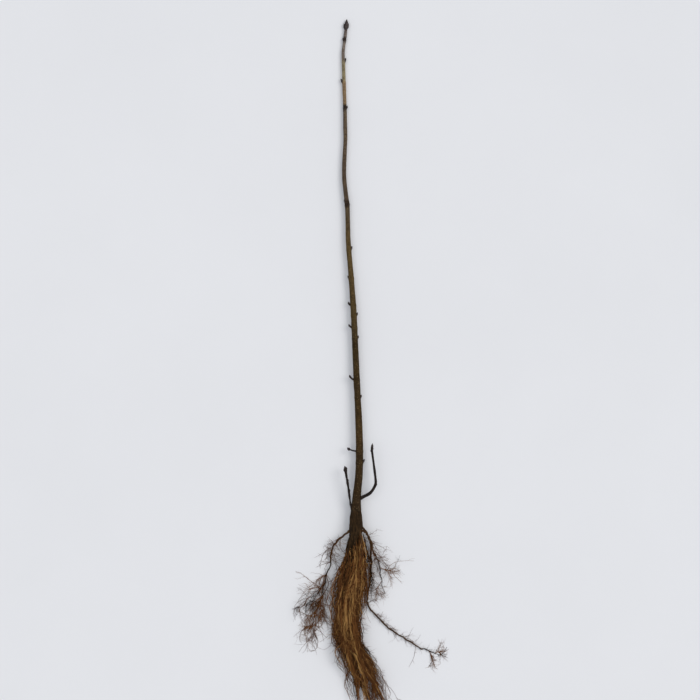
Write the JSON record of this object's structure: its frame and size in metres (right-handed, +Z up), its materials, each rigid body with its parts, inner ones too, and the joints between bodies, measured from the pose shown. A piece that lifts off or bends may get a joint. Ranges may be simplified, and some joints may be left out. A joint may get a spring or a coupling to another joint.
{
  "type": "bare-rooted rowan whip",
  "caption": "Young leafless rowan tree, bare-rooted and lying down: crooked tapering stem with buds, spurs and basal shoots, root crown, main roots and a trailing tress of fine roots.",
  "frame": {"origin": "on the surface that the plant lies on, under the middle of its overall box", "axes": "+Y along the plant from the root tips to the end bud, +X across it to the right as seen from above with the end bud away from the viewer, +Z up from the surface it lies on"},
  "size_m": [0.2234, 1.0032, 0.0256],
  "materials": {
    "bark": "smooth thin bark, olive brown below and grey brown above, faintly waxy",
    "bud": "purple-brown bud scales with pale hairs",
    "shoot": "dark matt bark",
    "root_bark": "dark fibrous root bark with dried soil",
    "rootlets": "dry red-brown fibrous roots"
  },
  "bodies": {
    "root": {"stem_lower": "bark", "stem_middle": "bark", "stem_upper": "bark", "terminal_bud": "bud", "spur_1": "shoot", "spur_2": "shoot", "spur_3": "shoot", "spur_4": "shoot", "shoot_left": "shoot", "shoot_right": "shoot", "root_crown": "root_bark", "main_root_1": "root_bark", "main_root_2": "root_bark", "main_root_3": "root_bark", "main_root_4": "root_bark", "main_root_5": "root_bark", "main_root_6": "root_bark", "main_root_7": "root_bark", "side_root_left": "root_bark", "side_root_right": "root_bark", "side_root_lateral": "root_bark", "rootlets_1": "rootlets", "rootlets_2": "rootlets", "rootlets_3": "rootlets", "rootlets_4": "rootlets", "rootlets_5": "rootlets", "rootlets_6": "rootlets", "rootlets_7": "rootlets", "rootlets_left": "rootlets", "rootlets_right": "rootlets", "rootlets_lateral": "rootlets"}
  },
  "joints": []
}
